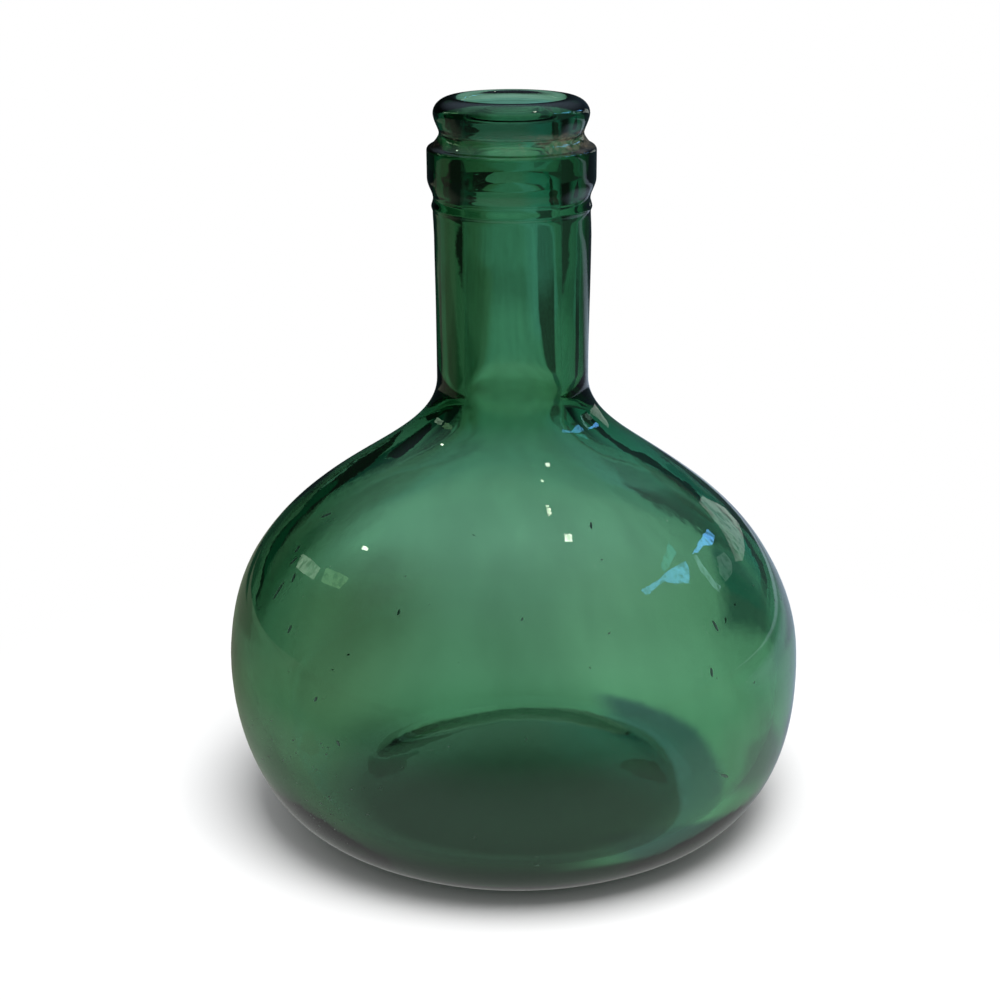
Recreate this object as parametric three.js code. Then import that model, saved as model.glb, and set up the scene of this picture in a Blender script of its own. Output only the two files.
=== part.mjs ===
// A squat, round-bodied liquor bottle in thick green glass, empty, with an open cork mouth.
// Millimetres, +Z up. The origin is the centre of the base, on the surface the bottle stands on.
//
// The bottle is two gathers of glass. The vessel is blown in one go: base, body, shoulder and neck
// tube. The finish is a second strip of glass laid round the severed end of the neck and tooled to
// its lip, groove, collar and parting ring.

import * as THREE from "three";

// Driving dimensions
const HEIGHT = 150.4;
const BODY_RADIUS = 59.7;
const BODY_WIDEST_Z = 33.9;
const NECK_RADIUS = 15.35;
const NECK_TOP_RADIUS = 15.7;
const NECK_FOOT_Z = 94.2;
const BORE_RADIUS = 10;
const BODY_WALL = 4;
const BASE_GLASS = 5.5;

// Base: a flat ring to stand on, with a shallow push-up inside it
const STANDING_INNER_RADIUS = 34;
const STANDING_OUTER_RADIUS = 39;
const PUSH_UP_HEIGHT = 5;
const PUSH_UP_CENTRE_PULL = 19;
const PUSH_UP_RIM_PULL = 9;
const PUSH_UP_RIM_RISE = 2.7;
const HEEL_UNDERSIDE_PULL = 10.2;
const HEEL_SIDE_PULL = 22.4;

// Shoulder: one S-shaped curve from the widest point to the foot of the neck
const SHOULDER_BODY_PULL = 39.2;
const SHOULDER_NECK_PULL = 17.4;

// Inside of the vessel
const FLOOR_EDGE_RADIUS = 37.5;
const FLOOR_EDGE_Z = 4.8;
const FLOOR_EDGE_PULL = 9;
const FLOOR_CENTRE_PULL = 20;
const INNER_HEEL_FLOOR_PULL = 9.5;
const INNER_HEEL_SIDE_PULL = 20.3;
const INNER_SHOULDER_BODY_PULL = 37;
const INNER_SHOULDER_NECK_PULL = 16.5;
const INNER_NECK_FOOT_Z = 91.5;

// Seat of the finish on the neck: a ledge below it, and a drawn-in tube inside it
const LEDGE_Z = 127.4;
const TUBE_RADIUS = 13;
const TUBE_TOP_Z = 145.4;

// Finish, from the ledge up
const RING_RADIUS = 15.9;
const RING_Z = 129.1;
const RING_HALF_HEIGHT = 0.75;
const UNDER_COLLAR_RADIUS = 15.6;
const UNDER_COLLAR_Z = 130.7;
const COLLAR_RADIUS = 16.75;
const COLLAR_BOTTOM_Z = 134.8;
const COLLAR_TOP_Z = 140.1;
const COLLAR_EDGE_ROUND = 0.95;
const GROOVE_RADIUS = 14.25;
const GROOVE_Z = 143.5;
const LIP_RADIUS = 15.4;
const LIP_Z = 147.3;
const CREST_RADIUS = 11.4;
const MOUTH_TAPER = 2;

// Roundness of the model
const SEGMENTS = 56;
const HEEL_STEPS = 11;
const SHOULDER_STEPS = 16;
const INNER_HEEL_STEPS = 10;
const INNER_SHOULDER_STEPS = 11;
const BASE_STEPS = 5;
const BEAD_STEPS = 3;

const glass = {
  color: new THREE.Color(0.07, 0.25, 0.13),
  roughness: 0.06,
  metalness: 0,
  transparent: true,
  opacity: 0.6,
};

function point(radius, z) {
  return new THREE.Vector2(radius, z);
}

// Points along a curve whose two ends each pull along one axis, without the first point
function flow(from, fromPull, toPull, to, steps) {
  const curve = new THREE.CubicBezierCurve(
    from,
    from.clone().add(fromPull),
    to.clone().add(toPull),
    to,
  );
  return curve.getPoints(steps).slice(1);
}

// Points of a quarter of an ellipse from one end to the other, bulging to the named corner
function quarterRound(from, corner, to, steps) {
  const points = [];
  for (let step = 1; step <= steps; step += 1) {
    const angle = (step / steps) * (Math.PI / 2);
    const toCorner = corner.clone().sub(from).multiplyScalar(Math.sin(angle));
    const pastCorner = to.clone().sub(corner).multiplyScalar(1 - Math.cos(angle));
    points.push(from.clone().add(toCorner).add(pastCorner));
  }
  return points;
}

// Turns a closed profile of (radius, z) points round the Z axis. The profile keeps the glass on its
// left all the way, so the faces point out of the glass.
function turned(name, profile) {
  const geometry = new THREE.LatheGeometry(profile, SEGMENTS);
  geometry.rotateX(Math.PI / 2);
  const mesh = new THREE.Mesh(geometry, new THREE.MeshStandardMaterial(glass));
  mesh.name = name;
  return mesh;
}

function vesselUnderside() {
  const centre = point(0, PUSH_UP_HEIGHT);
  const ringInner = point(STANDING_INNER_RADIUS, 0);
  return [
    centre,
    ...flow(
      centre,
      point(PUSH_UP_CENTRE_PULL, 0),
      point(-PUSH_UP_RIM_PULL, PUSH_UP_RIM_RISE),
      ringInner,
      BASE_STEPS,
    ),
    point(STANDING_OUTER_RADIUS, 0),
  ];
}

function vesselOutside() {
  const heel = point(STANDING_OUTER_RADIUS, 0);
  const widest = point(BODY_RADIUS, BODY_WIDEST_Z);
  const neckFoot = point(NECK_RADIUS, NECK_FOOT_Z);
  return [
    ...flow(
      heel,
      point(HEEL_UNDERSIDE_PULL, 0),
      point(0, -HEEL_SIDE_PULL),
      widest,
      HEEL_STEPS,
    ),
    ...flow(
      widest,
      point(0, SHOULDER_BODY_PULL),
      point(0, -SHOULDER_NECK_PULL),
      neckFoot,
      SHOULDER_STEPS,
    ),
    point(NECK_TOP_RADIUS, LEDGE_Z),
  ];
}

function vesselSeat() {
  return [
    point(TUBE_RADIUS, LEDGE_Z),
    point(TUBE_RADIUS, TUBE_TOP_Z),
    point(BORE_RADIUS, TUBE_TOP_Z),
  ];
}

function vesselInside() {
  const neckFoot = point(BORE_RADIUS, INNER_NECK_FOOT_Z);
  const widest = point(BODY_RADIUS - BODY_WALL, BODY_WIDEST_Z);
  const floorEdge = point(FLOOR_EDGE_RADIUS, FLOOR_EDGE_Z);
  const floorCentre = point(0, PUSH_UP_HEIGHT + BASE_GLASS);
  return [
    neckFoot,
    ...flow(
      neckFoot,
      point(0, -INNER_SHOULDER_NECK_PULL),
      point(0, INNER_SHOULDER_BODY_PULL),
      widest,
      INNER_SHOULDER_STEPS,
    ),
    ...flow(
      widest,
      point(0, -INNER_HEEL_SIDE_PULL),
      point(INNER_HEEL_FLOOR_PULL, 0),
      floorEdge,
      INNER_HEEL_STEPS,
    ),
    ...flow(
      floorEdge,
      point(-FLOOR_EDGE_PULL, 0),
      point(FLOOR_CENTRE_PULL, 0),
      floorCentre,
      BASE_STEPS,
    ),
  ];
}

function blownVessel() {
  return turned("blown_vessel", [
    ...vesselUnderside(),
    ...vesselOutside(),
    ...vesselSeat(),
    ...vesselInside(),
  ]);
}

// The thin ring left where the two halves of the lipping tool met the neck
function partingRing() {
  return [
    point(NECK_TOP_RADIUS, RING_Z - RING_HALF_HEIGHT),
    point(RING_RADIUS, RING_Z - RING_HALF_HEIGHT / 3),
    point(RING_RADIUS, RING_Z + RING_HALF_HEIGHT / 3),
    point(UNDER_COLLAR_RADIUS, UNDER_COLLAR_Z),
  ];
}

function collar() {
  const underside = point(UNDER_COLLAR_RADIUS, UNDER_COLLAR_Z);
  const side = point(COLLAR_RADIUS, COLLAR_BOTTOM_Z);
  const top = point(COLLAR_RADIUS, COLLAR_TOP_Z);
  const edge = point(COLLAR_RADIUS, COLLAR_TOP_Z + COLLAR_EDGE_ROUND);
  const shelf = point(COLLAR_RADIUS - COLLAR_EDGE_ROUND, COLLAR_TOP_Z + COLLAR_EDGE_ROUND);
  const third = (COLLAR_BOTTOM_Z - UNDER_COLLAR_Z) / 3;
  return [
    ...flow(underside, point(0, third), point(0, -third), side, BEAD_STEPS),
    top,
    ...quarterRound(top, edge, shelf, BEAD_STEPS),
  ];
}

function lip() {
  const groove = point(GROOVE_RADIUS, GROOVE_Z);
  const widest = point(LIP_RADIUS, LIP_Z);
  const crest = point(CREST_RADIUS, HEIGHT);
  const mouth = point(BORE_RADIUS, HEIGHT - MOUTH_TAPER);
  const half = (LIP_Z - GROOVE_Z) / 2;
  return [
    groove,
    ...flow(groove, point(0, half), point(0, -half), widest, BEAD_STEPS),
    ...quarterRound(widest, point(LIP_RADIUS, HEIGHT), crest, BEAD_STEPS + 1),
    ...quarterRound(crest, point(BORE_RADIUS, HEIGHT), mouth, BEAD_STEPS),
  ];
}

function laidOnFinish() {
  const seat = [
    point(TUBE_RADIUS, LEDGE_Z),
    point(NECK_TOP_RADIUS, LEDGE_Z),
  ];
  const inside = [
    point(BORE_RADIUS, TUBE_TOP_Z),
    point(TUBE_RADIUS, TUBE_TOP_Z),
    point(TUBE_RADIUS, LEDGE_Z),
  ];
  return turned("laid_on_finish", [...seat, ...partingRing(), ...collar(), ...lip(), ...inside]);
}

const bottle = new THREE.Group();
bottle.add(blownVessel(), laidOnFinish());

export default bottle;
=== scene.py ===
"""A squat, round-bodied liquor bottle of thick, seedy green glass, on a pale studio floor."""

import math
import random

import bpy
from bpy.props import FloatProperty, FloatVectorProperty, IntProperty, PointerProperty
from bpy.types import Operator, Panel, PropertyGroup
from mathutils import Matrix, Vector
from mathutils.bvhtree import BVHTree
from mathutils.interpolate import poly_3d_calc


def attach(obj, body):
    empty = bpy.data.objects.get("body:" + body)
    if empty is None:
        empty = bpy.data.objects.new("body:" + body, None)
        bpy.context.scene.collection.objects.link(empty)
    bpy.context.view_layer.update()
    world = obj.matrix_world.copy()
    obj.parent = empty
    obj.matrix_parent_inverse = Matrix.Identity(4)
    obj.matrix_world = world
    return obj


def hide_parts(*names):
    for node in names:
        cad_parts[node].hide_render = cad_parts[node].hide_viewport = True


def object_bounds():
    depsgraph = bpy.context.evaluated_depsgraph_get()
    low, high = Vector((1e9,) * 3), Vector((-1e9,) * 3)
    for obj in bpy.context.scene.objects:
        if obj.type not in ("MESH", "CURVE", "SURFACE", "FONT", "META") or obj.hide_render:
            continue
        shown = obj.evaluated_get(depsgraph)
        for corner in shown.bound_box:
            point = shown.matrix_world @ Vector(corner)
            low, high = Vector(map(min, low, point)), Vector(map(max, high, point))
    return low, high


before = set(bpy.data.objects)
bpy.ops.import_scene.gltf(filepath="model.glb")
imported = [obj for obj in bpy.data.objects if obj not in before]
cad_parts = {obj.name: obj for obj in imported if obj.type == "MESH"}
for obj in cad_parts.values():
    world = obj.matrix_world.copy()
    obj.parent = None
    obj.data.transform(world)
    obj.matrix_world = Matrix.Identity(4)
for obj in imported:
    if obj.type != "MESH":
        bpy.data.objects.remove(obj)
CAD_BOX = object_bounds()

bl_info = {
    "name": "Green Glass Bottle",
    "version": (1, 0, 0),
    "blender": (4, 5, 0),
    "location": "View3D > Sidebar > Bottle",
    "description": "Builds a round-bodied liquor bottle of green glass and its studio",
    "category": "Add Mesh",
}

MM = 0.001


def length(name, default_mm, description):
    """A length property. Its default is given in millimetres."""
    return FloatProperty(
        name=name,
        description=description,
        default=default_mm * MM,
        min=0.0,
        subtype="DISTANCE",
        unit="LENGTH",
        precision=5,
    )


def amount(name, default, description, low=0.0, high=1.0):
    """A plain number between two limits."""
    return FloatProperty(name=name, description=description, default=default, min=low, max=high)


def colour(name, default, description):
    """A linear colour."""
    return FloatVectorProperty(
        name=name,
        description=description,
        default=default,
        size=3,
        min=0.0,
        max=1.0,
        subtype="COLOR",
    )


class BottleSizes(PropertyGroup):
    """The shape of the glass."""

    height: FloatProperty(
        name="Height",
        description="From the surface the bottle stands on to the top of its lip",
        default=CAD_BOX[1][2] - CAD_BOX[0][2],
        subtype="DISTANCE",
        unit="LENGTH",
    )
    body_radius: length("Body Radius", 59.7, "Radius at the widest point of the body")
    widest_z: length("Widest Height", 33.9, "Height of the widest point")
    neck_radius: length("Neck Radius", 15.35, "Radius at the foot of the neck")
    neck_top_radius: length("Neck Top Radius", 15.7, "Radius of the neck under its finish")
    neck_foot_z: length("Neck Foot", 94.2, "Height where the shoulder becomes the neck")
    bore_radius: length("Bore Radius", 10.0, "Radius of the hole through the neck")
    body_wall: length("Body Wall", 4.0, "Thickness of the glass at the widest point")
    base_glass: length("Base Glass", 5.5, "Thickness of the glass over the push-up")
    push_up: length("Push-up", 5.0, "Height of the hollow under the base")
    ring_inner_radius: length("Standing Ring Inside", 34.0, "Inner radius of the ring it stands on")
    ring_outer_radius: length(
        "Standing Ring Outside", 39.0, "Outer radius of the ring it stands on"
    )
    collar_radius: length("Collar Radius", 16.75, "Radius of the wide collar")
    lip_radius: length("Lip Radius", 15.4, "Radius of the rounded lip")
    groove_radius: length("Groove Radius", 14.25, "Radius of the groove between lip and collar")
    heel_lean: length("Heel Lean", 0.8, "How far the heel was blown to one side")
    shoulder_lean: length("Shoulder Lean", 0.6, "How far the shoulder leans to the other side")
    finish_lean: length("Finish Lean", 0.2, "How far the finish sits off the neck's axis")
    waviness: length("Waviness", 0.25, "Height of the slow waves in the glass")
    around: IntProperty(
        name="Steps Around", description="Steps in the full turn", default=160, min=24, max=320
    )


class SeedSizes(PropertyGroup):
    """The small air bubbles in the glass."""

    seed_radius: length("Seed Radius", 0.15, "Usual radius of a small bubble")
    seed_depth: length("Seed Depth", 1.9, "Usual depth of a bubble under the surface")
    fine_seeds: IntProperty(
        name="Fine Seeds", description="Number of fine bubbles", default=90, min=0, max=400
    )
    order: IntProperty(name="Scatter", description="Starting number of the scatter", default=7)


class GlassLook(PropertyGroup):
    """The colour and surface of the glass."""

    tint: colour("Glass Tint", (0.19, 0.545, 0.345), "Colour that the glass lets through")
    strength: FloatProperty(
        name="Tint Strength",
        description="How quickly the glass takes up light, per metre",
        default=325.0,
        min=0.0,
        max=2000.0,
    )
    ior: amount("Refraction", 1.52, "Index of refraction of the glass", 1.0, 2.0)
    residue: colour("Residue", (0.22, 0.19, 0.13), "Dried dust in the groove of the finish")


class StageLook(PropertyGroup):
    """The camera, the floor and the lights."""

    camera_distance: length("Camera Distance", 397.5, "From the bottle's axis to the camera, level")
    camera_height: length("Camera Height", 200.9, "Height of the camera above the floor")
    camera_pitch: FloatProperty(
        name="Camera Pitch",
        description="How far the camera looks down",
        default=math.radians(18.56),
        subtype="ANGLE",
        unit="ROTATION",
    )
    camera_roll: FloatProperty(
        name="Camera Roll",
        description="How far the camera is tipped to one side",
        default=math.radians(-0.218),
        subtype="ANGLE",
        unit="ROTATION",
    )
    camera_aside: length("Camera Aside", 2.7, "How far the camera is left of the bottle's axis")
    lens: FloatProperty(
        name="Lens", description="Focal length in millimetres on a 36 mm sensor", default=72.6
    )
    floor: colour("Floor", (0.86, 0.86, 0.86), "Colour of the floor")


# Long bubbles that the photo shows: pixel (across and down), length in millimetres and lean in
# degrees
SEEN_BLISTERS = (
    ((274, 590), 4.2, 4),
    ((289, 560), 2.2, 14),
    ((322, 514), 2.6, 40),
    ((293, 548), 1.8, -10),
    ((289, 577), 2.0, -22),
    ((285, 629), 1.8, 8),
    ((718, 624), 2.4, -10),
    ((715, 672), 1.8, 8),
    ((728, 778), 3.0, -60),
    ((312, 700), 1.2, 30),
    ((335, 745), 1.2, -30),
)

# Long bubbles at the far side: azimuth in degrees (0 to the front, more to the right), height and
# length in millimetres and lean in degrees
FAR_BLISTERS = (
    (160, 45, 2.1, 12),
    (-150, 24, 1.8, -20),
    (118, 30, 1.6, 15),
)

# Window panes and sparks that the glass mirrors: name, outline of the reflection in the photo's
# pixels (across and down), colour
WINDOWS = (
    (
        "left_pane_near",
        (
            (302.7, 553.5), (311, 559), (320.8, 567.7), (314.2, 580), (305, 574), (296.2, 566.9),
        ),
        (1.5, 2.1, 1.5),
    ),
    (
        "left_pane_far",
        (
            (325.8, 567.7), (338, 572), (348.8, 579.2), (339.2, 589.6), (329, 586),
            (320.8, 581.2),
        ),
        (0.8, 1.6, 0.8),
    ),
    (
        "right_pane_high",
        (
            (707.3, 529.2), (714.6, 534.6), (712.3, 544.6), (703.8, 545.4), (697.7, 552.3),
            (691.5, 553.8), (699.2, 541.5),
        ),
        (1.0, 3.2, 6.8),
    ),
    (
        "right_frame",
        (
            (693, 556), (696, 554.5), (703.8, 566), (714.2, 581), (721, 586), (719.2, 592),
            (712.3, 586.5), (701, 573),
        ),
        (1.0, 1.8, 1.9),
    ),
    (
        "right_pane_low",
        (
            (685.4, 560.8), (689.2, 568.5), (689.2, 583.8), (673.8, 583.8), (664.2, 581.9),
            (646.9, 595.4), (641.2, 590.8), (658.5, 580), (668.1, 570.4), (677.7, 564.6),
        ),
        (1.0, 3.6, 6.5),
    ),
    (
        "right_leaf",
        (
            (669.2, 541.5), (675.8, 553), (671.9, 560.8), (664.2, 572.3), (661, 566),
        ),
        (0.35, 1.6, 1.6),
    ),
    (
        "right_haze",
        (
            (702.7, 496.2), (723.8, 506.9), (739.2, 524.2), (744.2, 545.4), (742.3, 560.8),
            (735.4, 560.8), (729.6, 545.4), (720, 528.1), (708.5, 512.7), (698.8, 502.3),
        ),
        (0.75, 0.85, 0.8),
    ),
    (
        "right_glare",
        (
            (716, 556), (724, 552), (731, 560), (733, 572), (726, 582), (720, 574),
        ),
        (0.5, 0.8, 0.7),
    ),
    (
        "spark_a",
        (
            (364, 545), (369, 547), (368, 551), (362, 549),
        ),
        (22.0, 26.0, 20.0),
    ),
    (
        "spark_b",
        (
            (541, 479.5), (544.5, 480), (544.5, 483), (542, 484),
        ),
        (20.0, 22.0, 17.0),
    ),
    (
        "spark_c",
        (
            (564.5, 534), (572, 534.5), (572, 541), (565, 541.5),
        ),
        (20.0, 22.0, 18.0),
    ),
)

# Cards behind the bottle that make the bands on its shoulders: name, corners (across and up in
# millimetres), colour
FLAGS = (
    (
        "left_teal",
        (
            (-555, 0), (-555, 230), (-610, 290), (-720, 290), (-750, 190), (-1000, 180),
            (-1600, 180), (-1600, 0),
        ),
        (0.02, 0.16, 0.11),
    ),
    (
        "left_dark",
        (
            (-60, 35), (-60, 55), (-160, 105), (-210, 150), (-260, 200), (-310, 250), (-360, 300),
            (-430, 345), (-510, 350), (-600, 420), (-700, 410), (-1000, 380), (-1600, 380),
            (-1600, 180), (-1000, 180), (-750, 190), (-720, 290), (-610, 290), (-555, 230),
            (-555, 90), (-450, 140), (-400, 95), (-130, 85),
        ),
        (0.04, 0.035, 0.03),
    ),
    (
        "left_column",
        (
            (-400, 395), (-450, 400), (-510, 352), (-600, 422), (-700, 412), (-1000, 382),
            (-1000, 800), (-702, 760), (-612, 560), (-572, 500), (-502, 438), (-412, 443),
        ),
        (0.03, 0.18, 0.18),
    ),
    (
        "left_tall",
        (
            (-410, 445), (-500, 440), (-570, 500), (-610, 560), (-700, 760), (-560, 760),
            (-480, 560),
        ),
        (0.01, 0.02, 0.01),
    ),
    (
        "right_teal",
        (
            (440, 0), (450, 60), (490, 130), (545, 210), (600, 235), (602, 165), (618, 130),
            (600, 60), (610, 0),
        ),
        (0.12, 0.58, 0.66),
    ),
    (
        "right_dark",
        (
            (550, 760), (546, 450), (566, 350), (604, 310), (618, 240), (646, 215), (604, 165),
            (620, 130), (655, 150), (700, 195), (760, 235), (770, 285), (705, 300), (700, 380),
            (720, 430), (690, 560), (700, 760),
        ),
        (0.04, 0.08, 0.08),
    ),
    (
        "right_brown",
        (
            (706, 301), (770, 286), (830, 300), (900, 340), (1100, 500), (1100, 760), (702, 760),
            (722, 430), (702, 380),
        ),
        (0.28, 0.17, 0.20),
    ),
)

# Curves of the profile: how far each end pulls (out and up in millimetres), and the steps
CURVES = {
    "push_up": ((19, 0), (-8, 2.3), 16),
    "push_up_rim": ((1.2, -0.36), (-1.2, 0), 4),
    "heel": ((10.2, 0), (0, -22.4), 28),
    "shoulder": ((0, 39.2), (0, -17.4), 48),
    "neck": ((0, 11), (0, -11), 16),
    "ring_foot": ((0, 0.3), (0, -0.35), 4),
    "ring_top": ((0, 0.35), (0, -0.5), 5),
    "collar_foot": ((0, 1.4), (0, -1.6), 9),
    "collar_side": ((0, 1.7), (0, -1.7), 5),
    "shelf": ((-0.5, 0.5), (0, -0.8), 7),
    "lip_foot": ((0, 0.8), (0, -1.3), 8),
    "bore": ((0, -18), (0, 18), 24),
    "inner_shoulder": ((0, -16.5), (0, 37), 44),
    "inner_heel": ((0, -20.3), (9.5, 0), 28),
    "inner_floor": ((-9, 0), (20, 0), 16),
}

# Steps of the rounded edges
COLLAR_EDGE_STEPS = 6
LIP_STEPS = 10
MOUTH_STEPS = 7

# Heights in the finish, in millimetres down from the top of the lip
FINISH_DROPS = {
    "ledge": 23.0,
    "ring_foot": 22.2,
    "ring": 21.3,
    "under_collar": 19.7,
    "collar_foot": 15.6,
    "collar_top": 10.3,
    "shelf": 9.35,
    "groove": 6.9,
    "lip": 3.1,
    "mouth": 2.0,
}

# Small steps between the parts of the profile
PUSH_UP_RIM_INSET = 1.6 * MM
PUSH_UP_RIM_RISE = 0.42 * MM
RING_FLAT_START = 1.4 * MM
RING_FLAT_END = 1.6 * MM
PARTING_RING_PROUD = 0.28 * MM
UNDER_COLLAR_INSET = 0.1 * MM
COLLAR_EDGE_ROUND = 0.95 * MM
CREST_RADIUS = 11.4 * MM
INNER_NECK_DROP = 2.7 * MM
FLOOR_EDGE_OUTSET = 3.5 * MM
FLOOR_EDGE_Z = 4.8 * MM

# Where the glass leans: lowest and highest point that is pushed, and how far the push fades out
HEEL_LEAN = (2 * MM, 9 * MM, 30 * MM)
SHOULDER_LEAN = (55 * MM, 66 * MM, 18 * MM)
FINISH_LEAN = (128 * MM, 151 * MM, 5 * MM)

# Waves in the surfaces: their size, and the height of the quick ones beside the slow ones
SLOW_WAVE = 34 * MM
QUICK_WAVE = 11 * MM
QUICK_WAVE_SHARE = 0.16

# Long bubbles are this many times as wide as the usual small one
BLISTER_WIDTH = 2

# Fine bubbles: every second one is in a cluster at the left front, and the others are all around.
# The cluster's azimuth and the tilt are a mean and a spread in degrees. The rest are lowest and
# highest values: azimuths in degrees, heights in millimetres, and depths, radii and stretches as
# shares of the usual ones.
CLUSTER_AZIMUTH = (-46, 9)
CLUSTER_HEIGHTS = (9, 34)
SCATTER_AZIMUTHS = (-180, 180)
SCATTER_HEIGHTS = (7, 72)
FINE_DEPTHS = (0.75, 1.25)
FINE_RADII = (0.35, 1.0)
FINE_TILT = (70, 25)
FINE_STRETCHES = (1.0, 3.5)

# Glass: its tone below the lip and its darker tone at the lip, which is painted shade, and the
# ripples in its surface
CLEAR_TONE = (0.97, 1.0, 0.98)
LIP_SHADE_TONE = (0.56, 0.66, 0.65)
RIPPLE_SCALE = 90.0
FINE_RIPPLE_SCALE = 420.0
RIPPLE_STRENGTH = 0.25
RIPPLE_HEIGHT = 0.2 * MM

# Dust: its grain and patches, and its roughness
GRAIN_SCALE = 900.0
PATCH_SCALE = 170.0
DUST_ROUGHNESS = 0.8

WHITE = (1.0, 1.0, 1.0)

# Tones of the floor as it shows through the glass
THROUGH = {
    "near_left": (0.76, 0.68, 0.60),
    "near_middle": (0.84, 0.92, 0.88),
    "near_right": (1.24, 1.28, 1.24),
    "near_back": (1.14, 1.14, 1.20),
    "far_in": (0.74, 0.92, 1.0),
    "far_dip": (0.50, 0.64, 0.70),
    "far_out": (0.62, 0.80, 0.90),
    "far_blue": (0.82, 1.05, 1.40),
    "far_left": (0.48, 0.54, 0.47),
    "far_right_end": (0.32, 0.25, 0.33),
    "far_left_end": (0.03, 0.05, 0.04),
    "haze": (0.50, 0.56, 0.50),
    "left_band_near": (0.15, 0.28, 0.20),
    "left_band_far": (0.34, 0.42, 0.34),
    "right_band_near": (0.26, 0.34, 0.36),
    "right_band_middle": (0.12, 0.38, 0.40),
    "right_band_far": (0.30, 0.40, 0.52),
    "purple": (1.0, 0.66, 0.90),
    "shoulder_shade": (0.20, 0.17, 0.21),
    "strip": (0.57, 0.52, 0.77),
    "core_front": (0.20, 0.155, 0.18),
    "core_back": (0.36, 0.31, 0.33),
}

# Tones of the floor as the glass mirrors it
MIRRORED = {
    "front_far": (0.04, 0.04, 0.04),
    "front_near": (0.32, 0.33, 0.32),
    "left_light": (0.17, 0.19, 0.14),
    "left_dark": (0.01, 0.02, 0.02),
    "right_dark": (0.07, 0.08, 0.10),
    "right_light": (0.42, 0.52, 0.64),
    "right_far": (0.03, 0.05, 0.06),
}

# Tones of the world: overhead and to the sides for mirrored rays, and behind and round the
# bottle for refracted rays
SKY = {
    "dusk_left": (0.005, 0.008, 0.008),
    "dusk_right": (0.03, 0.05, 0.07),
    "overhead": (0.35, 0.47, 0.58),
    "high": (0.04, 0.05, 0.06),
    "around": (0.48, 0.52, 0.52),
    "wall_left": (0.72, 0.77, 0.86),
    "wall_right": (0.42, 0.86, 1.08),
    "soft_light": (0.5, 0.5, 0.5),
}
OVERHEAD_WAY = (0.0, 0.26, 0.966)

# Places on the stage, in metres and degrees
MIDDLE_Z = 0.05
FLOOR_SIZE = 12
WINDOW_DISTANCE = 1.2
WINDOW_BLOTCH_SCALE = 26.0
FLAG_DISTANCE = 1.5
SOFTBOX_WAY = (20, 72)
SOFTBOX_DISTANCE = 1.5
SOFTBOX_SIZE = 0.9
SOFTBOX_POWER = 26.0

# Thick glass needs many bounces
THROUGH_BOUNCES = 24
GLOSSY_BOUNCES = 8

# Camera: width and height of the photo in pixels, width of its sensor in millimetres, and the
# nearest distance that it sees in metres
FRAME = 1000
SENSOR_WIDTH = 36.0
CLIP_START = 0.01


# The profile


def flow(name, start, end):
    """Points along a curve of the profile between two places, without its first point."""
    start_pull, end_pull, steps = CURVES[name]
    a, d = Vector(start), Vector(end)
    b = a + Vector([pull * MM for pull in start_pull])
    c = d + Vector([pull * MM for pull in end_pull])
    points = []
    for i in range(1, steps + 1):
        t = i / steps
        s = 1 - t
        points.append(tuple(a * s**3 + b * 3 * s * s * t + c * 3 * s * t * t + d * t**3))
    return points


def quarter_round(start, corner, end, steps):
    """Points of a quarter of an ellipse between two ends, bulging to its corner."""
    a, c, b = Vector(start), Vector(corner), Vector(end)
    points = []
    for i in range(1, steps + 1):
        turn = i / steps * math.pi / 2
        points.append(tuple(a + (c - a) * math.sin(turn) + (b - c) * (1 - math.cos(turn))))
    return points


def underside(s):
    """The hollow under the base and the ring the bottle stands on."""
    centre = (0, s.push_up)
    rim = (s.ring_inner_radius - PUSH_UP_RIM_INSET, PUSH_UP_RIM_RISE)
    ring = (s.ring_inner_radius + RING_FLAT_START, 0)
    return [
        centre,
        *flow("push_up", centre, rim),
        *flow("push_up_rim", rim, ring),
        (s.ring_outer_radius - RING_FLAT_END, 0),
        (s.ring_outer_radius, 0),
    ]


def outside(s):
    """The heel, the body and the shoulder, up to the foot of the neck."""
    heel = (s.ring_outer_radius, 0)
    widest = (s.body_radius, s.widest_z)
    neck = (s.neck_radius, s.neck_foot_z)
    return [*flow("heel", heel, widest), *flow("shoulder", widest, neck)]


def finish(s):
    """The neck, the parting ring, the collar, the groove and the lip."""
    height = {name: s.height - drop * MM for name, drop in FINISH_DROPS.items()}
    ledge = (s.neck_top_radius, height["ledge"])
    ring_foot = (s.neck_top_radius, height["ring_foot"])
    ring = (s.neck_top_radius + PARTING_RING_PROUD, height["ring"])
    under = (s.neck_top_radius - UNDER_COLLAR_INSET, height["under_collar"])
    side = (s.collar_radius, height["collar_foot"])
    top = (s.collar_radius, height["collar_top"])
    shelf = (s.collar_radius - COLLAR_EDGE_ROUND, height["shelf"])
    groove = (s.groove_radius, height["groove"])
    widest = (s.lip_radius, height["lip"])
    crest = (CREST_RADIUS, s.height)
    mouth = (s.bore_radius, height["mouth"])
    return [
        *flow("neck", (s.neck_radius, s.neck_foot_z), ledge),
        ring_foot,
        *flow("ring_foot", ring_foot, ring),
        *flow("ring_top", ring, under),
        *flow("collar_foot", under, side),
        *flow("collar_side", side, top),
        *quarter_round(top, (s.collar_radius, shelf[1]), shelf, COLLAR_EDGE_STEPS),
        *flow("shelf", shelf, groove),
        *flow("lip_foot", groove, widest),
        *quarter_round(widest, (s.lip_radius, s.height), crest, LIP_STEPS),
        *quarter_round(crest, (s.bore_radius, s.height), mouth, MOUTH_STEPS),
    ]


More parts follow.
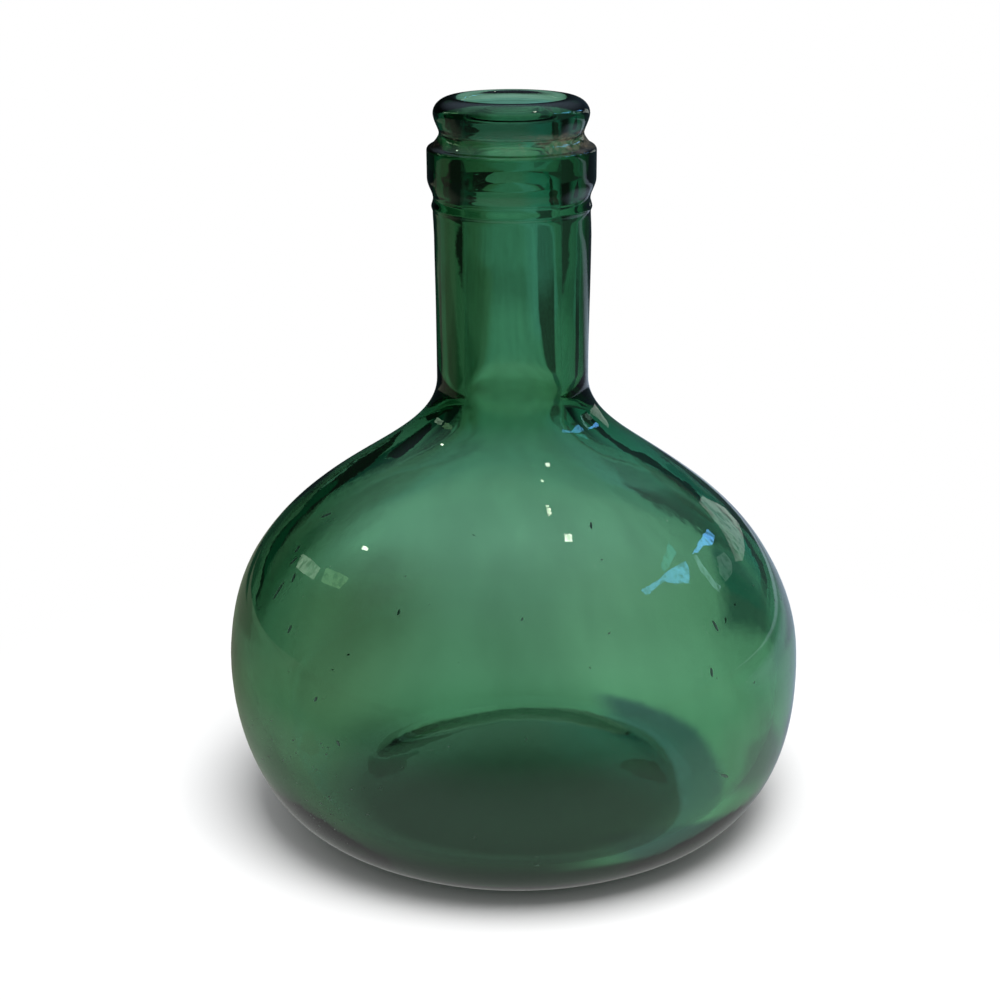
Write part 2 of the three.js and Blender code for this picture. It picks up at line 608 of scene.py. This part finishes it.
def inside(s):
    """The bore, the inside of the shoulder and body, and the floor."""
    mouth = (s.bore_radius, s.height - FINISH_DROPS["mouth"] * MM)
    neck = (s.bore_radius, s.neck_foot_z - INNER_NECK_DROP)
    widest = (s.body_radius - s.body_wall, s.widest_z)
    edge = (s.ring_inner_radius + FLOOR_EDGE_OUTSET, FLOOR_EDGE_Z)
    centre = (0, s.push_up + s.base_glass)
    return [
        *flow("bore", mouth, neck),
        *flow("inner_shoulder", neck, widest),
        *flow("inner_heel", widest, edge),
        *flow("inner_floor", edge, centre),
    ]


# Modelling steps


def deselect_all():
    """Leaves nothing selected, so that an operator acts on the new piece alone."""
    if bpy.context.object and bpy.context.object.mode != "OBJECT":
        bpy.ops.object.mode_set(mode="OBJECT")
    bpy.ops.object.select_all(action="DESELECT")


def draw_line(name, points):
    """Draws a line through points from a single vertex and leaves it in edit mode."""
    deselect_all()
    bpy.ops.mesh.primitive_plane_add(size=MM, location=(0, 0, 0))
    piece = bpy.context.object
    piece.name = piece.data.name = name
    bpy.ops.object.mode_set(mode="EDIT")
    bpy.ops.mesh.merge(type="CENTER")
    bpy.ops.transform.translate(value=points[0])
    for here, there in zip(points, points[1:]):
        step = Vector(there) - Vector(here)
        bpy.ops.mesh.extrude_region_move(TRANSFORM_OT_translate={"value": step})
    return piece


def turn_profile(steps):
    """Spins the drawn line round the Z axis and closes the seam and the poles."""
    bpy.ops.mesh.select_all(action="SELECT")
    bpy.ops.mesh.spin(steps=steps, angle=2 * math.pi, center=(0, 0, 0), axis=(0, 0, 1))
    bpy.ops.mesh.select_all(action="SELECT")
    bpy.ops.mesh.remove_doubles(threshold=2e-6)
    bpy.ops.mesh.normals_make_consistent(inside=False)


def select_heights(piece, low, high):
    """Selects the points between two heights, in edit mode."""
    bpy.ops.object.mode_set(mode="OBJECT")
    for v in piece.data.vertices:
        v.select = low <= v.co.z <= high
    bpy.ops.object.mode_set(mode="EDIT")


def lean(piece, where, shift):
    """Pushes the points between two heights along X and fades the push over a reach."""
    low, high, reach = where
    bpy.ops.mesh.select_mode(type="VERT")
    bpy.ops.mesh.select_all(action="DESELECT")
    select_heights(piece, low, high)
    bpy.ops.transform.translate(
        value=(shift, 0, 0),
        use_proportional_edit=True,
        proportional_edit_falloff="SMOOTH",
        proportional_size=reach,
    )


def wave(piece, name, scale, height):
    """Displaces the surface along its normals by a cloud pattern."""
    texture = bpy.data.textures.new(name, "CLOUDS")
    texture.noise_scale = scale
    texture.noise_depth = 1
    bpy.ops.object.modifier_add(type="DISPLACE")
    modifier = piece.modifiers[-1]
    modifier.name = name
    modifier.texture = texture
    modifier.texture_coords = "LOCAL"
    modifier.strength = height
    modifier.mid_level = 0.5
    bpy.ops.object.modifier_apply(modifier=modifier.name)


# Shader building


class Wire:
    """A shader output that can be used in sums and products with numbers and other outputs."""

    def __init__(self, net, socket):
        self.net = net
        self.socket = socket

    def maths(self, operation, *others):
        return self.net.add("ShaderNodeMath", {"operation": operation}, [self, *others])

    def __add__(self, other):
        return self.maths("ADD", other)

    __radd__ = __add__

    def __sub__(self, other):
        return self.maths("SUBTRACT", other)

    def __rsub__(self, other):
        return self.net.add("ShaderNodeMath", {"operation": "SUBTRACT"}, [other, self])

    def __mul__(self, other):
        return self.maths("MULTIPLY", other)

    __rmul__ = __mul__

    def clipped(self):
        """The same value kept between 0 and 1."""
        settings = {"operation": "ADD", "use_clamp": True}
        return self.net.add("ShaderNodeMath", settings, [self, 0.0])


class Net:
    """A node tree that is written as expressions."""

    def __init__(self, tree):
        self.tree = tree
        tree.nodes.clear()

    def node(self, kind, settings=None, values=None):
        """Adds a node, its settings first and then its sockets, and returns it."""
        n = self.tree.nodes.new(kind)
        for key, value in (settings or {}).items():
            setattr(n, key, value)
        pairs = enumerate(values) if isinstance(values, list) else (values or {}).items()
        for key, value in pairs:
            if isinstance(value, Wire):
                self.tree.links.new(value.socket, n.inputs[key])
            else:
                n.inputs[key].default_value = value
        return n

    def add(self, kind, settings=None, values=None, output=0):
        """Adds a node and returns one of its outputs, ready for expressions."""
        return Wire(self, self.node(kind, settings, values).outputs[output])

    def axes(self, vector):
        """The three parts of a vector."""
        parts = self.node("ShaderNodeSeparateXYZ", {}, {"Vector": vector})
        return [Wire(self, parts.outputs[axis]) for axis in "XYZ"]

    def rays(self, *kinds):
        """Whether the ray that looks at the surface is of each of these kinds."""
        path = self.node("ShaderNodeLightPath")
        return [Wire(self, path.outputs[f"Is {kind} Ray"]) for kind in kinds]

    def grade(self, value, low, high):
        """0 at low, 1 at high, and a smooth change between them. Low may be the larger number."""
        settings = {"interpolation_type": "SMOOTHSTEP"}
        values = {"Value": value, "From Min": low, "From Max": high}
        return self.add("ShaderNodeMapRange", settings, values)

    def length(self, vector):
        """The length of a vector."""
        settings = {"operation": "LENGTH"}
        return self.add("ShaderNodeVectorMath", settings, {0: vector}, output="Value")

    def scale(self, shade, factor):
        """A colour made brighter or darker."""
        values = {0: shade, "Scale": factor}
        return self.add("ShaderNodeVectorMath", {"operation": "SCALE"}, values)

    def blend(self, factor, low, high):
        """A colour between two others."""
        pair = [(*c, 1.0) if isinstance(c, tuple) else c for c in (low, high)]
        values = {0: factor, 6: pair[0], 7: pair[1]}
        return self.add("ShaderNodeMix", {"data_type": "RGBA"}, values, output=2)

    def noise(self, place, scale, detail, roughness=0.5):
        """A cloud pattern."""
        values = {"Vector": place, "Scale": scale, "Detail": detail, "Roughness": roughness}
        return self.add("ShaderNodeTexNoise", {}, values)

    def oval(self, place, centre, reach):
        """Places measured from a centre, in units of a reach along each axis."""
        values = {"Vector": place, "Location": centre, "Scale": reach}
        return self.add("ShaderNodeMapping", {"vector_type": "TEXTURE"}, values)


def new_material(name):
    material = bpy.data.materials.new(name)
    material.use_nodes = True
    return material, Net(material.node_tree)


# The glass


def rippled_glass(net, place, z, look, height):
    """Clear glass with slow and fine ripples, its colour a little darker at the lip as painted
    shade.
    """
    slow = net.noise(place, RIPPLE_SCALE, 2.0, 0.45)
    fine = net.noise(place, FINE_RIPPLE_SCALE, 2.0)
    bump = net.add(
        "ShaderNodeBump",
        {},
        {
            "Strength": RIPPLE_STRENGTH,
            "Distance": RIPPLE_HEIGHT,
            "Height": slow * 0.85 + fine * 0.15,
        },
    )
    # Painted shade: the glass is a little darker at the lip
    lip = net.grade(z, height - 8.0 * MM, height - 5.0 * MM)
    return net.add(
        "ShaderNodeBsdfPrincipled",
        {},
        {
            "Base Color": net.blend(lip, CLEAR_TONE, LIP_SHADE_TONE),
            "Roughness": 0.0,
            "IOR": look.ior,
            "Transmission Weight": 1.0,
            "Normal": bump,
        },
    )


def dust_in_groove(net, place, x, z, height):
    """How much dust lies on the glass: patchy, in the groove outside, most of it on the right."""
    flat = {0: place, 1: (1.0, 1.0, 0.0)}
    level = net.add("ShaderNodeVectorMath", {"operation": "MULTIPLY"}, flat)
    outer = net.grade(net.length(level), 13.0 * MM, 13.6 * MM)
    over_collar = net.grade(z, height - 10.2 * MM, height - 8.2 * MM)
    under_lip = net.grade(z, height - 5.2 * MM, height - 6.2 * MM)
    right = net.grade(x, -6.0 * MM, 12.0 * MM)
    grain = net.noise(place, GRAIN_SCALE, 4.0, 0.65)
    patch = net.noise(place, PATCH_SCALE, 2.0)
    patchy = net.grade(grain * 0.5 + patch * 0.5, 0.38, 0.62)
    return over_collar * under_lip * outer * (0.06 + 0.42 * right) * patchy


def green_glass(look, sizes):
    """Thick green glass: clear and slightly wavy, tinted by its depth, with dust in the groove."""
    material, net = new_material("seedy_green_glass")
    place = net.add("ShaderNodeTexCoord", output="Object")
    x, _, z = net.axes(place)
    glass = rippled_glass(net, place, z, look, sizes.height)
    dust = dust_in_groove(net, place, x, z, sizes.height)
    film = net.add(
        "ShaderNodeBsdfPrincipled",
        {},
        {"Base Color": (*look.residue, 1.0), "Roughness": DUST_ROUGHNESS},
    )
    surface = net.add("ShaderNodeMixShader", {}, [dust.clipped(), glass, film])
    depth = net.add(
        "ShaderNodeVolumeAbsorption", {}, {"Color": (*look.tint, 1.0), "Density": look.strength}
    )
    net.node("ShaderNodeOutputMaterial", {}, {"Surface": surface, "Volume": depth})
    return material


# The floor. Its places are in metres, across and back from the bottle's axis.


def floor_beside(net, x, y):
    """The floor round the bottle as it shows through the glass."""
    shade = net.blend(net.grade(x, -0.05, -0.012), THROUGH["near_left"], THROUGH["near_middle"])
    shade = net.blend(net.grade(x, 0.002, 0.034), shade, THROUGH["near_right"])
    front_left = net.grade(y, 0.01, -0.01) * net.grade(x, -0.015, -0.03)
    dimming = (net.grade(y, 0.11, 0.04) * 0.2 + 0.8) * (1.0 - front_left * 0.36)
    return net.blend(net.grade(y, 0.12, 0.20), net.scale(shade, dimming), THROUGH["near_back"])


def floor_behind(net, x, y, reach):
    """The floor far behind the bottle as it shows through the glass."""
    shade = net.blend(net.grade(reach, 0.56, 0.64), THROUGH["far_dip"], THROUGH["far_out"])
    blue = net.grade(x, 0.03, 0.10) * net.grade(x, 0.33, 0.28) * net.grade(y, 0.38, 0.46)
    for where, tone in (
        (net.grade(reach, 0.55, 0.46), "far_in"),
        (blue, "far_blue"),
        (net.grade(x, -0.05, -0.22), "far_left"),
        (net.grade(x, 0.50, 0.56), "far_right_end"),
        (net.grade(x, -0.50, -0.56), "far_left_end"),
    ):
        shade = net.blend(where, shade, THROUGH[tone])
    return shade


def with_bands(net, x, y, shade):
    """The bands that the glass shows at the sides of the body, and a dark patch of painted shade
    that the right shoulder shows as a dark band.
    """
    left_end = net.grade(x, -0.36, -0.30) * net.grade(y, 0.62, 0.54)
    haze = net.grade(x, -0.05, -0.09) * net.grade(y, 0.05, 0.09) * left_end
    left = net.grade(x, -0.09, -0.12) * net.grade(y, 0.10, 0.15) * left_end
    dark = net.blend(
        net.grade(y, 0.34, 0.40), THROUGH["left_band_near"], THROUGH["left_band_far"]
    )
    right = net.grade(x - y * 0.21, 0.040, 0.052) * net.grade(x, 0.17, 0.13)
    right = right * net.grade(y, 0.085, 0.11) * net.grade(y, 0.30, 0.22)
    dim = net.blend(
        net.grade(y, 0.13, 0.145), THROUGH["right_band_near"], THROUGH["right_band_middle"]
    )
    dim = net.blend(net.grade(y, 0.18, 0.21), dim, THROUGH["right_band_far"])
    purple = net.grade(x, 0.055, 0.065) * net.grade(y, 0.022, 0.008) * net.grade(y, -0.04, -0.03)
    # Painted shade: a dark patch on the floor behind the bottle to the right, which the right
    # shoulder shows as a dark band
    shoulder_shade = net.grade(x - y * 0.19, -0.005, 0.005) * net.grade(x, 0.090, 0.102)
    shoulder_shade = shoulder_shade * net.grade(x - y * 0.43, 0.045, 0.02) * net.grade(x + y * 0.2, 0.40, 0.37)
    shoulder_shade = shoulder_shade * net.grade(y, 0.24, 0.28) * (1.0 - net.grade(y, 0.46, 0.60) * 0.55)
    for where, tone in (
        (haze, THROUGH["haze"]),
        (left, dark),
        (right, dim),
        (purple, THROUGH["purple"]),
        (shoulder_shade, THROUGH["shoulder_shade"]),
    ):
        shade = net.blend(where, shade, tone)
    return shade


def with_streaks(net, place, shade):
    """Faint streaks that run away from the camera."""
    values = {"Vector": place, "Scale": (1.0, 0.12, 1.0)}
    long = net.add("ShaderNodeMapping", {"vector_type": "POINT"}, values)
    return net.scale(shade, net.grade(net.noise(long, 60.0, 3.0), 0.3, 0.7) * 0.16 + 0.92)


def with_shadow(net, place, x, y, shade):
    """The painted shadow under the base, soft on its left and crisp on its right, with a strip of
    painted shade beside it.
    """
    spot = net.oval(place, (0.003, -0.006, 0.0), (0.033, 0.040, 1.0))
    squareness = 2.6
    across, back = (
        part.maths("ABSOLUTE").maths("POWER", squareness) for part in net.axes(spot)[:2]
    )
    ring = (across + back).maths("POWER", 1 / squareness)
    lit_side = net.grade(x + y * 0.6, -0.025, 0.005)
    soft, crisp = net.grade(ring, 0.95, 1.75), net.grade(ring, 0.97, 1.03)
    clear = soft + lit_side * (crisp - soft)
    # Painted shade: a paler strip of shadow on the floor to the right of the base
    strip = net.grade(ring, 1.45, 1.30) * net.grade(x, 0.018, 0.028)
    shade = net.blend(strip, shade, THROUGH["strip"])
    core = net.blend(net.grade(y, 0.0, 0.02), THROUGH["core_front"], THROUGH["core_back"])
    return net.blend(clear, core, shade)


def floor_mirrored(net, x, y, reach):
    """The floor as the glass mirrors it."""
    close = net.grade(reach, 0.42, 0.24) * 0.82
    lit = net.grade(y, 0.26, 0.33).maths("MAXIMUM", close)
    right = net.blend(lit, MIRRORED["right_dark"], MIRRORED["right_light"])
    right = net.blend(net.grade(y, 0.38, 0.44), right, MIRRORED["right_far"])
    gloom = net.grade(y, 0.22, 0.28) * net.grade(x, -0.30, -0.26)
    gloom = gloom.maths("MAXIMUM", net.grade(y, 0.42, 0.5))
    left = net.blend(gloom, MIRRORED["left_light"], MIRRORED["left_dark"])
    beside = net.blend(net.grade(x, -0.04, 0.06), left, right)
    ahead = net.blend(net.grade(reach, 0.17, 0.09), MIRRORED["front_far"], MIRRORED["front_near"])
    return net.blend(net.grade(y, -0.03, 0.06), ahead, beside)


def pale_floor(look):
    """A pale floor. The camera sees it white away from the bottle and with the bottle's shadow near
    it. Glass shows it and mirrors it in tones of its own."""
    material, net = new_material("pale_floor")
    place = net.add("ShaderNodeTexCoord", output="Object")
    x, y, _ = net.axes(place)
    reach = net.length(place)
    camera, glossy, through = net.rays("Camera", "Glossy", "Transmission")
    spread = net.length(net.oval(place, (0.0, 0.12, 0.0), (0.17, 0.24, 1.0)))
    near = net.grade(spread, 1.15, 0.65)
    shown = net.blend(near, floor_behind(net, x, y, reach), floor_beside(net, x, y))
    shown = with_bands(net, x, y, shown)
    shown = with_streaks(net, place, shown)
    shown = with_shadow(net, place, x, y, shown)
    level = net.blend(glossy, WHITE, floor_mirrored(net, x, y, reach))
    level = net.blend(through, level, shown)
    apart = net.grade(reach, 0.045, 0.16) * camera + through + glossy
    lit = net.add("ShaderNodeBsdfDiffuse", {}, {"Color": (*look.floor, 1.0)})
    plain = net.add("ShaderNodeEmission", {}, {"Color": level, "Strength": 1.0})
    surface = net.add("ShaderNodeMixShader", {}, [apart.clipped(), lit, plain])
    net.node("ShaderNodeOutputMaterial", {}, {"Surface": surface})
    return material


# Sight lines


def camera_pose(look):
    """The place of the camera and its turn."""
    place = Vector((-look.camera_aside, -look.camera_distance, look.camera_height))
    turn = Matrix.Rotation(math.pi / 2 - look.camera_pitch, 3, "X") @ Matrix.Rotation(
        look.camera_roll, 3, "Z"
    )
    return place, turn


class Sight:
    """Where lines from the camera through the photo's pixels meet the outside of the glass."""

    def __init__(self, look):
        self.mesh = bpy.data.objects["bottle_glass"].data
        faces = [tuple(face.vertices) for face in self.mesh.polygons]
        self.skin = BVHTree.FromPolygons([v.co for v in self.mesh.vertices], faces)
        self.eye, self.turn = camera_pose(look)
        self.focal = look.lens / SENSOR_WIDTH * FRAME

    def meet(self, pixel):
        """The way from the camera through a pixel, and the place and normal of the glass there."""
        across, down = pixel
        way = self.turn @ Vector((across - FRAME / 2, FRAME / 2 - down, -self.focal))
        way.normalize()
        place, _, index, _ = self.skin.ray_cast(self.eye, way)
        corners = [self.mesh.vertices[i] for i in self.mesh.polygons[index].vertices]
        shares = poly_3d_calc([corner.co for corner in corners], place)
        normal = Vector()
        for corner, share in zip(corners, shares):
            normal += corner.normal * share
        return way, place, normal.normalized()

    def azimuth_and_height(self, pixel):
        """How far round the bottle, in radians, and how high up the glass a pixel is."""
        _, place, _ = self.meet(pixel)
        return math.atan2(place.x, -place.y), place.z

    def mirrored(self, pixel, distance):
        """The place at a distance from the bottle's middle that the glass mirrors at a pixel."""
        way, place, normal = self.meet(pixel)
        onward = way.reflect(normal)
        start = place - Vector((0, 0, MIDDLE_Z))
        along = start.dot(onward)
        gone = math.sqrt(along**2 - start.length_squared + distance**2) - along
        return tuple(place + onward * gone)


# Operators


class BOTTLE_OT_glass(Operator):
    """Turns the bottle from its profile, in one skin of glass with a hollow inside"""

    bl_idname = "bottle.glass"
    bl_label = "Bottle Glass"

    def execute(self, context):
        s = context.scene.bottle_sizes
        profile = [*underside(s), *outside(s), *finish(s), *inside(s)]
        piece = draw_line("bottle_glass", [(r, 0, z) for r, z in profile])
        turn_profile(s.around)
        lean(piece, HEEL_LEAN, s.heel_lean)
        lean(piece, SHOULDER_LEAN, -s.shoulder_lean)
        lean(piece, FINISH_LEAN, -s.finish_lean)
        bpy.ops.object.mode_set(mode="OBJECT")
        wave(piece, "slow_waves", SLOW_WAVE, s.waviness)
        wave(piece, "quick_waves", QUICK_WAVE, s.waviness * QUICK_WAVE_SHARE)
        bpy.ops.object.shade_smooth()
        piece.data.materials.clear()
        piece.data.materials.append(green_glass(context.scene.bottle_look, s))
        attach(piece, "root")
        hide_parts("blown_vessel", "laid_on_finish")
        return {"FINISHED"}


class BOTTLE_OT_seeds(Operator):
    """Blows long and fine air bubbles into the wall of the bottle"""

    bl_idname = "bottle.seeds"
    bl_label = "Air Bubbles"

    def in_wall(self, skin, z, azimuth, depth):
        """A place under the outer skin, the way up along the skin there and the way round it."""
        for (r0, z0), (r1, z1) in zip(skin, skin[1:]):
            if z0 <= z <= z1:
                break
        share = (z - z0) / (z1 - z0)
        along = Vector((r1 - r0, 0, z1 - z0)).normalized()
        place = Vector((r0 + (r1 - r0) * share, 0, z)) + depth * Vector((-along.z, 0, along.x))
        turn = Matrix.Rotation(azimuth - math.pi / 2, 3, "Z")
        return turn @ place, turn @ along, turn @ Vector((0, 1, 0))

    def add_seed(self, spot, radius, stretch, lean_angle):
        """A long bubble that leans from the way up towards the way round."""
        place, along, aside = spot
        axis = along * math.cos(lean_angle) + aside * math.sin(lean_angle)
        bpy.ops.mesh.primitive_ico_sphere_add(
            subdivisions=2,
            radius=radius,
            location=place,
            rotation=axis.to_track_quat("Z", "Y").to_euler(),
            scale=(1.0, 1.0, stretch),
        )
        return bpy.context.object

    def add_blisters(self, skin, seeds, look):
        """The long bubbles, first those that the photo shows."""
        sight = Sight(look)
        rows = [(*sight.azimuth_and_height(pixel), *rest) for pixel, *rest in SEEN_BLISTERS]
        rows += [(math.radians(azimuth), z * MM, *rest) for azimuth, z, *rest in FAR_BLISTERS]
        pieces = []
        radius = seeds.seed_radius * BLISTER_WIDTH
        for azimuth, z, long, lean_angle in rows:
            spot = self.in_wall(skin, z, azimuth, seeds.seed_depth)
            stretch = long * MM / (2 * radius)
            pieces.append(self.add_seed(spot, radius, stretch, math.radians(lean_angle)))
        return pieces

    def add_fine_seeds(self, skin, seeds):
        """The fine bubbles, half of them in the cluster."""
        pieces = []
        pick = random.Random(seeds.order)
        for i in range(seeds.fine_seeds):
            clustered = i % 2
            azimuth = pick.gauss(*CLUSTER_AZIMUTH) if clustered else pick.uniform(*SCATTER_AZIMUTHS)
            z = pick.uniform(*(CLUSTER_HEIGHTS if clustered else SCATTER_HEIGHTS))
            depth = seeds.seed_depth * pick.uniform(*FINE_DEPTHS)
            spot = self.in_wall(skin, z * MM, math.radians(azimuth), depth)
            radius = seeds.seed_radius * pick.uniform(*FINE_RADII)
            tilt = math.radians(pick.gauss(*FINE_TILT))
            pieces.append(self.add_seed(spot, radius, pick.uniform(*FINE_STRETCHES), tilt))
        return pieces

    def execute(self, context):
        seeds = context.scene.bottle_seeds
        skin = outside(context.scene.bottle_sizes)
        deselect_all()
        blisters = self.add_blisters(skin, seeds, context.scene.bottle_stage)
        for piece in blisters + self.add_fine_seeds(skin, seeds):
            piece.select_set(True)
        bpy.ops.object.join()
        bpy.ops.object.transform_apply(location=True, rotation=True, scale=True)
        bpy.ops.object.mode_set(mode="EDIT")
        bpy.ops.mesh.select_all(action="SELECT")
        bpy.ops.mesh.normals_make_consistent(inside=True)
        bpy.ops.object.mode_set(mode="OBJECT")
        bpy.ops.object.shade_smooth()
        glass = bpy.data.objects["bottle_glass"]
        glass.select_set(True)
        context.view_layer.objects.active = glass
        bpy.ops.object.join()
        return {"FINISHED"}


def around_bottle(way, distance):
    """The place at an azimuth and elevation in degrees, seen from the middle of the bottle."""
    azimuth, elevation = (math.radians(angle) for angle in way)
    level = math.cos(elevation) * distance
    return (
        math.sin(azimuth) * level,
        -math.cos(azimuth) * level,
        MIDDLE_Z + math.sin(elevation) * distance,
    )


class BOTTLE_OT_stage(Operator):
    """Sets the floor, the cards, the soft light, the world and the camera"""

    bl_idname = "bottle.stage"
    bl_label = "Bottle Stage"

    def add_floor(self, look):
        deselect_all()
        bpy.ops.mesh.primitive_plane_add(size=FLOOR_SIZE, location=(0, 0, 0))
        floor = bpy.context.object
        floor.name = "floor"
        floor.data.materials.append(pale_floor(look))

    def add_softbox(self):
        """A soft box overhead, which the glass neither mirrors nor shows."""
        place = Vector(around_bottle(SOFTBOX_WAY, SOFTBOX_DISTANCE))
        aim = (Vector((0, 0, MIDDLE_Z)) - place).to_track_quat("-Z", "Y").to_euler()
        bpy.ops.object.light_add(type="AREA", location=place, rotation=aim)
        light = bpy.context.object
        light.name = "top_softbox"
        light.data.shape = "RECTANGLE"
        light.data.size = light.data.size_y = SOFTBOX_SIZE
        light.data.energy = SOFTBOX_POWER
        light.visible_glossy = light.visible_transmission = False

    def add_card(self, name, corners, shade, mirrored):
        """A flat card that glows, seen only by mirrored rays (and then blotchy) or only by
        refracted ones."""
        card = draw_line(name, corners)
        bpy.ops.mesh.select_all(action="SELECT")
        bpy.ops.mesh.edge_face_add()
        bpy.ops.object.mode_set(mode="OBJECT")
        material, net = new_material(name)
        tone = (*shade, 1.0)
        if mirrored:
            place = net.add("ShaderNodeTexCoord", output="Object")
            cloud = net.noise(place, WINDOW_BLOTCH_SCALE, 4.0)
            tone = net.scale(shade, net.grade(cloud, 0.34, 0.56) * 0.6 + 0.4)
        glow = net.add("ShaderNodeEmission", {}, {"Color": tone, "Strength": 1.0})
        net.node("ShaderNodeOutputMaterial", {}, {"Surface": glow})
        card.data.materials.append(material)
        card.visible_camera = card.visible_diffuse = card.visible_shadow = False
        card.visible_volume_scatter = False
        card.visible_glossy = mirrored
        card.visible_transmission = not mirrored

    def add_window(self, sight, name, outline, shade):
        """A window pane far to the side, where the glass mirrors it into its outline."""
        points = [sight.mirrored(pixel, WINDOW_DISTANCE) for pixel in outline]
        self.add_card(name, points, shade, True)

    def add_flag(self, name, corners, shade):
        """A card far behind the bottle. Its corners are in millimetres, across and up."""
        points = [(x * MM, FLAG_DISTANCE, z * MM) for x, z in corners]
        self.add_card(name, points, shade, False)

    def add_camera(self, look):
        place, turn = camera_pose(look)
        bpy.ops.object.camera_add(location=place, rotation=turn.to_euler())
        camera = bpy.context.object
        camera.data.lens = look.lens
        camera.data.sensor_width = SENSOR_WIDTH
        camera.data.clip_start = CLIP_START
        bpy.context.scene.camera = camera

    def add_world(self):
        """White to the camera, soft light to matt surfaces, and a room to the glass."""
        world = bpy.data.worlds.new("studio")
        world.use_nodes = True
        net = Net(world.node_tree)
        camera, diffuse, through = net.rays("Camera", "Diffuse", "Transmission")
        way = net.add("ShaderNodeTexCoord", output="Generated")
        aside, ahead, up = net.axes(way)
        values = {0: way, 1: OVERHEAD_WAY}
        settings = {"operation": "DOT_PRODUCT"}
        overhead = net.add("ShaderNodeVectorMath", settings, values, output="Value")
        dusk = net.blend(net.grade(aside, -0.1, 0.3), SKY["dusk_left"], SKY["dusk_right"])
        sky = net.blend(net.grade(overhead, 0.45, 1.0), dusk, SKY["overhead"])
        low = net.grade(up, 0.65, 0.35)
        wall = net.grade(ahead, 0.55, 0.85) * low * net.grade(aside, -0.65, -0.3)
        pale = net.blend(net.grade(aside, 0.04, 0.18), SKY["wall_left"], SKY["wall_right"])
        backdrop = net.blend(net.grade(ahead, 0.30, 0.0) * low, SKY["high"], SKY["around"])
        backdrop = net.blend(wall, backdrop, pale)
        shown = net.blend(through, sky, backdrop)
        shown = net.blend(camera, shown, WHITE)
        shown = net.blend(diffuse, shown, SKY["soft_light"])
        air = net.add("ShaderNodeBackground", {}, {"Color": shown, "Strength": 1.0})
        net.node("ShaderNodeOutputWorld", {}, {"Surface": air})
        bpy.context.scene.world = world

    def execute(self, context):
        look = context.scene.bottle_stage
        self.add_floor(look)
        sight = Sight(look)
        for name, outline, shade in WINDOWS:
            self.add_window(sight, name, outline, shade)
        for name, corners, shade in FLAGS:
            self.add_flag(name, corners, shade)
        self.add_softbox()
        self.add_world()
        self.add_camera(look)
        scene = context.scene
        scene.view_settings.view_transform = "Standard"
        scene.cycles.max_bounces = THROUGH_BOUNCES
        scene.cycles.transmission_bounces = THROUGH_BOUNCES
        scene.cycles.glossy_bounces = GLOSSY_BOUNCES
        return {"FINISHED"}


class BOTTLE_PT_panel(Panel):
    """Lists the steps and their values"""

    bl_label = "Green Glass Bottle"
    bl_idname = "BOTTLE_PT_panel"
    bl_space_type = "VIEW_3D"
    bl_region_type = "UI"
    bl_category = "Bottle"

    def draw(self, context):
        for operator, group in (
            ("bottle.glass", context.scene.bottle_sizes),
            ("bottle.seeds", context.scene.bottle_seeds),
            (None, context.scene.bottle_look),
            ("bottle.stage", context.scene.bottle_stage),
        ):
            box = self.layout.box()
            if operator:
                box.operator(operator)
            for name in group.__annotations__:
                box.prop(group, name)


CLASSES = (
    BottleSizes,
    SeedSizes,
    GlassLook,
    StageLook,
    BOTTLE_OT_glass,
    BOTTLE_OT_seeds,
    BOTTLE_OT_stage,
    BOTTLE_PT_panel,
)


def register():
    for cls in CLASSES:
        bpy.utils.register_class(cls)
    bpy.types.Scene.bottle_sizes = PointerProperty(type=BottleSizes)
    bpy.types.Scene.bottle_seeds = PointerProperty(type=SeedSizes)
    bpy.types.Scene.bottle_look = PointerProperty(type=GlassLook)
    bpy.types.Scene.bottle_stage = PointerProperty(type=StageLook)


def unregister():
    for name in ("bottle_stage", "bottle_look", "bottle_seeds", "bottle_sizes"):
        delattr(bpy.types.Scene, name)
    for cls in reversed(CLASSES):
        bpy.utils.unregister_class(cls)


def main():
    register()
    bpy.ops.bottle.glass()
    bpy.ops.bottle.seeds()
    bpy.ops.bottle.stage()


if __name__ == "__main__":
    main()
